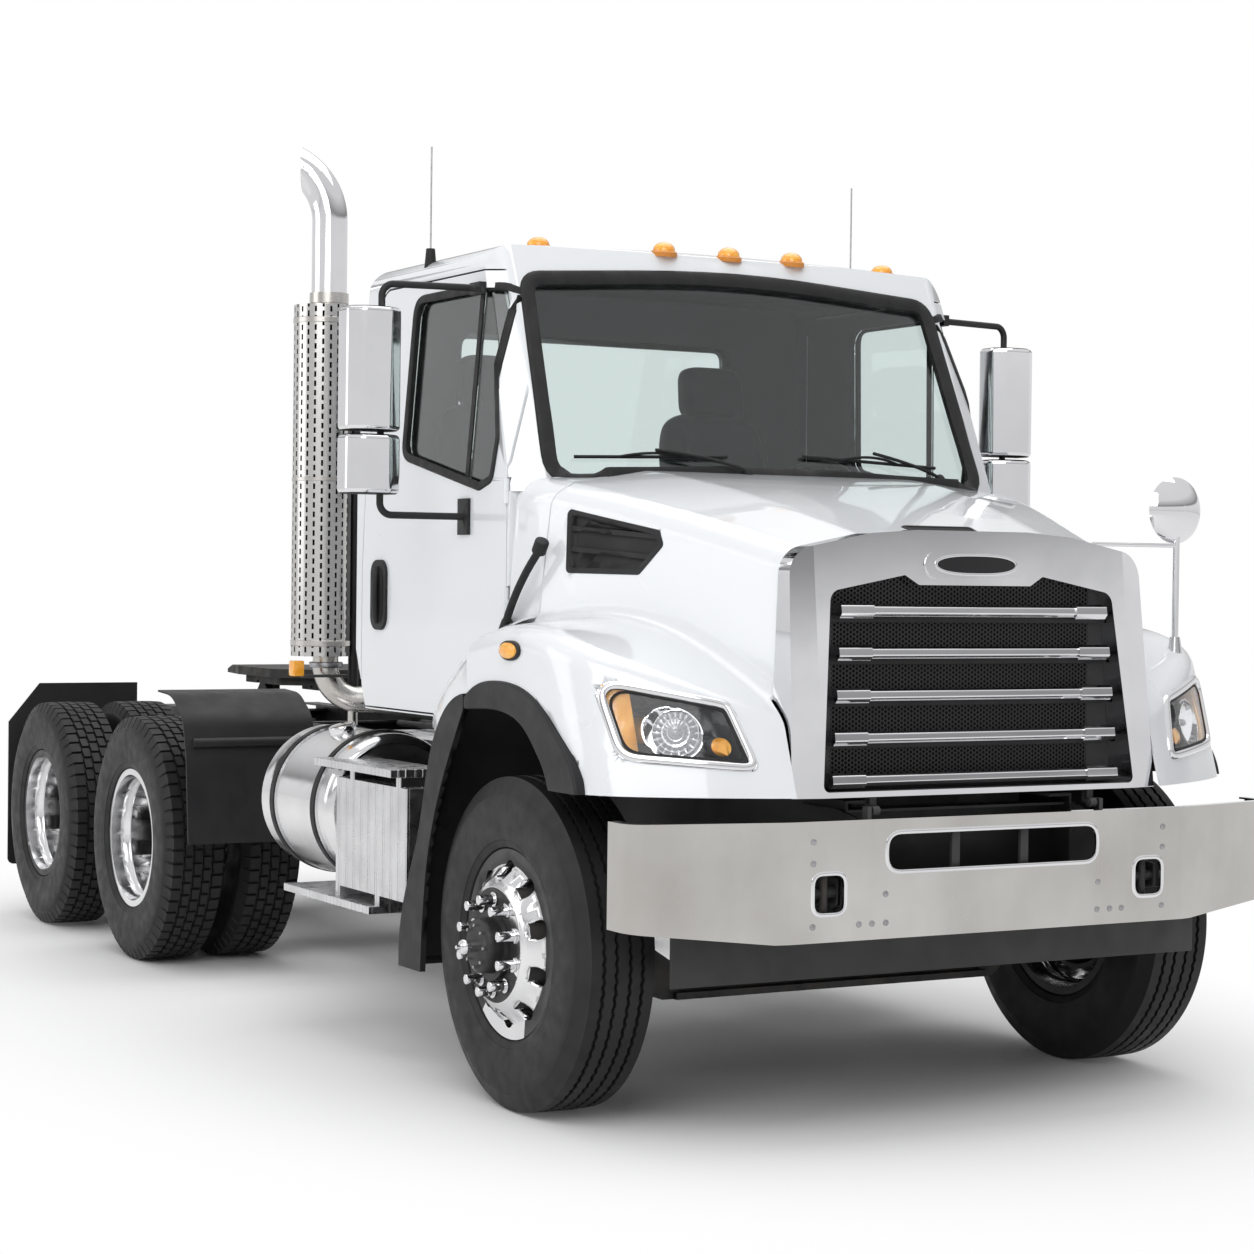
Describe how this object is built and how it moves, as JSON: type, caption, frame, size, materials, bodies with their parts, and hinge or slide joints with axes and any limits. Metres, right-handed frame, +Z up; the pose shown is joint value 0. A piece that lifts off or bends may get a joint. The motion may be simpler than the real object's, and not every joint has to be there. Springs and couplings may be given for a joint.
{
  "type": "tractor unit",
  "caption": "Conventional day-cab tractor unit for semi-trailers with a tilting hood, opening doors, steered front axle, twin-tyred tandem drive axles and a pitching coupling plate.",
  "frame": {"origin": "on the ground under the middle of the whole bounding box", "axes": "+X forward, towards the bumper; +Y to the vehicle's left; +Z up from the ground"},
  "size_m": [6.435, 2.862, 3.3358],
  "materials": {
    "white_paint": "gloss",
    "chrome": "mirror polish",
    "polished_aluminium": "polished",
    "black_steel": "satin",
    "black_plastic": "moulded",
    "tyre_rubber": "worn tread",
    "tinted_glass": "tinted",
    "seat_cloth": "woven",
    "trim_plastic": "grained",
    "lamp_clear": "clear",
    "clear_lens": "clear",
    "amber_plastic": "clear amber",
    "cast_steel": "painted",
    "stainless": "brushed"
  },
  "bodies": {
    "chassis": {"left_frame_rail": "black_steel", "right_frame_rail": "black_steel", "crossmembers": "black_steel", "engine_block": "cast_steel", "radiator": "black_steel", "cab_shell": "white_paint", "cab_glass": "tinted_glass", "seats": "seat_cloth", "dashboard": "trim_plastic", "front_axle": "black_steel", "front_springs": "black_steel", "drive_axles": "cast_steel", "driveshafts": "black_steel", "rear_suspension": "black_steel", "fuel_tanks": "polished_aluminium", "cab_steps": "polished_aluminium", "exhaust_stack": "stainless", "quarter_fenders": "black_plastic", "mud_flaps": "black_plastic", "cab_flares": "black_plastic", "roof_lamps": "amber_plastic", "antennas": "black_steel", "fifth_wheel_stands": "black_steel", "front_bumper": "chrome", "bumper_ends": "chrome", "bumper_brackets": "black_steel", "fender_extensions": "white_paint"},
    "hood": {"hood": "white_paint", "hood_vents": "black_plastic", "fender_lips": "black_plastic", "grille_surround": "chrome", "grille_mesh": "black_plastic", "grille_bars": "chrome", "headlamps": "lamp_clear", "headlamp_lenses": "clear_lens", "fender_mirror": "chrome"},
    "fifth_wheel": {"fifth_wheel_plate": "cast_steel"},
    "steering_wheel": {"steering_wheel": "trim_plastic"},
    "left_knuckle": {"left_knuckle": "cast_steel"},
    "left_front_wheel": {"left_front_tyre": "tyre_rubber", "left_front_wheel": "polished_aluminium"},
    "left_forward_drive_wheels": {"left_forward_drive_tyres": "tyre_rubber", "left_forward_drive_wheels": "polished_aluminium"},
    "left_rearmost_drive_wheels": {"left_rearmost_drive_tyres": "tyre_rubber", "left_rearmost_drive_wheels": "polished_aluminium"},
    "left_door": {"left_door": "white_paint", "left_door_glass": "tinted_glass", "left_door_mirror": "chrome"},
    "right_knuckle": {"right_knuckle": "cast_steel"},
    "right_front_wheel": {"right_front_tyre": "tyre_rubber", "right_front_wheel": "polished_aluminium"},
    "right_forward_drive_wheels": {"right_forward_drive_tyres": "tyre_rubber", "right_forward_drive_wheels": "polished_aluminium"},
    "right_rearmost_drive_wheels": {"right_rearmost_drive_tyres": "tyre_rubber", "right_rearmost_drive_wheels": "polished_aluminium"},
    "right_door": {"right_door": "white_paint", "right_door_glass": "tinted_glass", "right_door_mirror": "chrome"}
  },
  "joints": [
    {"name": "hood_tilt", "type": "hinge", "parent": "chassis", "child": "hood", "pos_m": [3.1675, 0, 0.991], "axis": [0, 1, 0], "range_deg": [0, 60]},
    {"name": "fifth_wheel_pitch", "type": "hinge", "parent": "chassis", "child": "fifth_wheel", "pos_m": [-1.8675, 0, 1.165], "axis": [0, 1, 0], "range_deg": [-12, 12]},
    {"name": "steering_wheel_turn", "type": "hinge", "parent": "chassis", "child": "steering_wheel", "pos_m": [1.3525, 0.48, 1.96], "axis": [-0.6727, 0, 0.7399], "range_deg": [-630, 630]},
    {"name": "left_steering", "type": "hinge", "parent": "chassis", "child": "left_knuckle", "pos_m": [2.3125, 0.9, 0.527], "axis": [0, 0, 1], "range_deg": [-35, 35]},
    {"name": "left_front_wheel_spin", "type": "hinge", "parent": "left_knuckle", "child": "left_front_wheel", "pos_m": [2.3125, 1.08, 0.527], "axis": [0, 1, 0], "continuous": true},
    {"name": "left_forward_drive_wheel_spin", "type": "hinge", "parent": "chassis", "child": "left_forward_drive_wheels", "pos_m": [-1.3375, 0.9085, 0.527], "axis": [0, 1, 0], "continuous": true},
    {"name": "left_rearmost_drive_wheel_spin", "type": "hinge", "parent": "chassis", "child": "left_rearmost_drive_wheels", "pos_m": [-2.6375, 0.9085, 0.527], "axis": [0, 1, 0], "continuous": true},
    {"name": "left_door_swing", "type": "hinge", "parent": "chassis", "child": "left_door", "pos_m": [1.8495, 0.994, 1.6], "axis": [0, 0, -1], "range_deg": [0, 70]},
    {"name": "right_steering", "type": "hinge", "parent": "chassis", "child": "right_knuckle", "pos_m": [2.3125, -0.9, 0.527], "axis": [0, 0, 1], "range_deg": [-35, 35]},
    {"name": "right_front_wheel_spin", "type": "hinge", "parent": "right_knuckle", "child": "right_front_wheel", "pos_m": [2.3125, -1.08, 0.527], "axis": [0, 1, 0], "continuous": true},
    {"name": "right_forward_drive_wheel_spin", "type": "hinge", "parent": "chassis", "child": "right_forward_drive_wheels", "pos_m": [-1.3375, -0.9085, 0.527], "axis": [0, 1, 0], "continuous": true},
    {"name": "right_rearmost_drive_wheel_spin", "type": "hinge", "parent": "chassis", "child": "right_rearmost_drive_wheels", "pos_m": [-2.6375, -0.9085, 0.527], "axis": [0, 1, 0], "continuous": true},
    {"name": "right_door_swing", "type": "hinge", "parent": "chassis", "child": "right_door", "pos_m": [1.8495, -0.994, 1.6], "axis": [0, 0, 1], "range_deg": [0, 70]}
  ],
  "couplings": [
    {"joint": "right_steering", "follows": "left_steering", "ratio": 1},
    {"joint": "steering_wheel_turn", "follows": "left_steering", "ratio": 18}
  ]
}
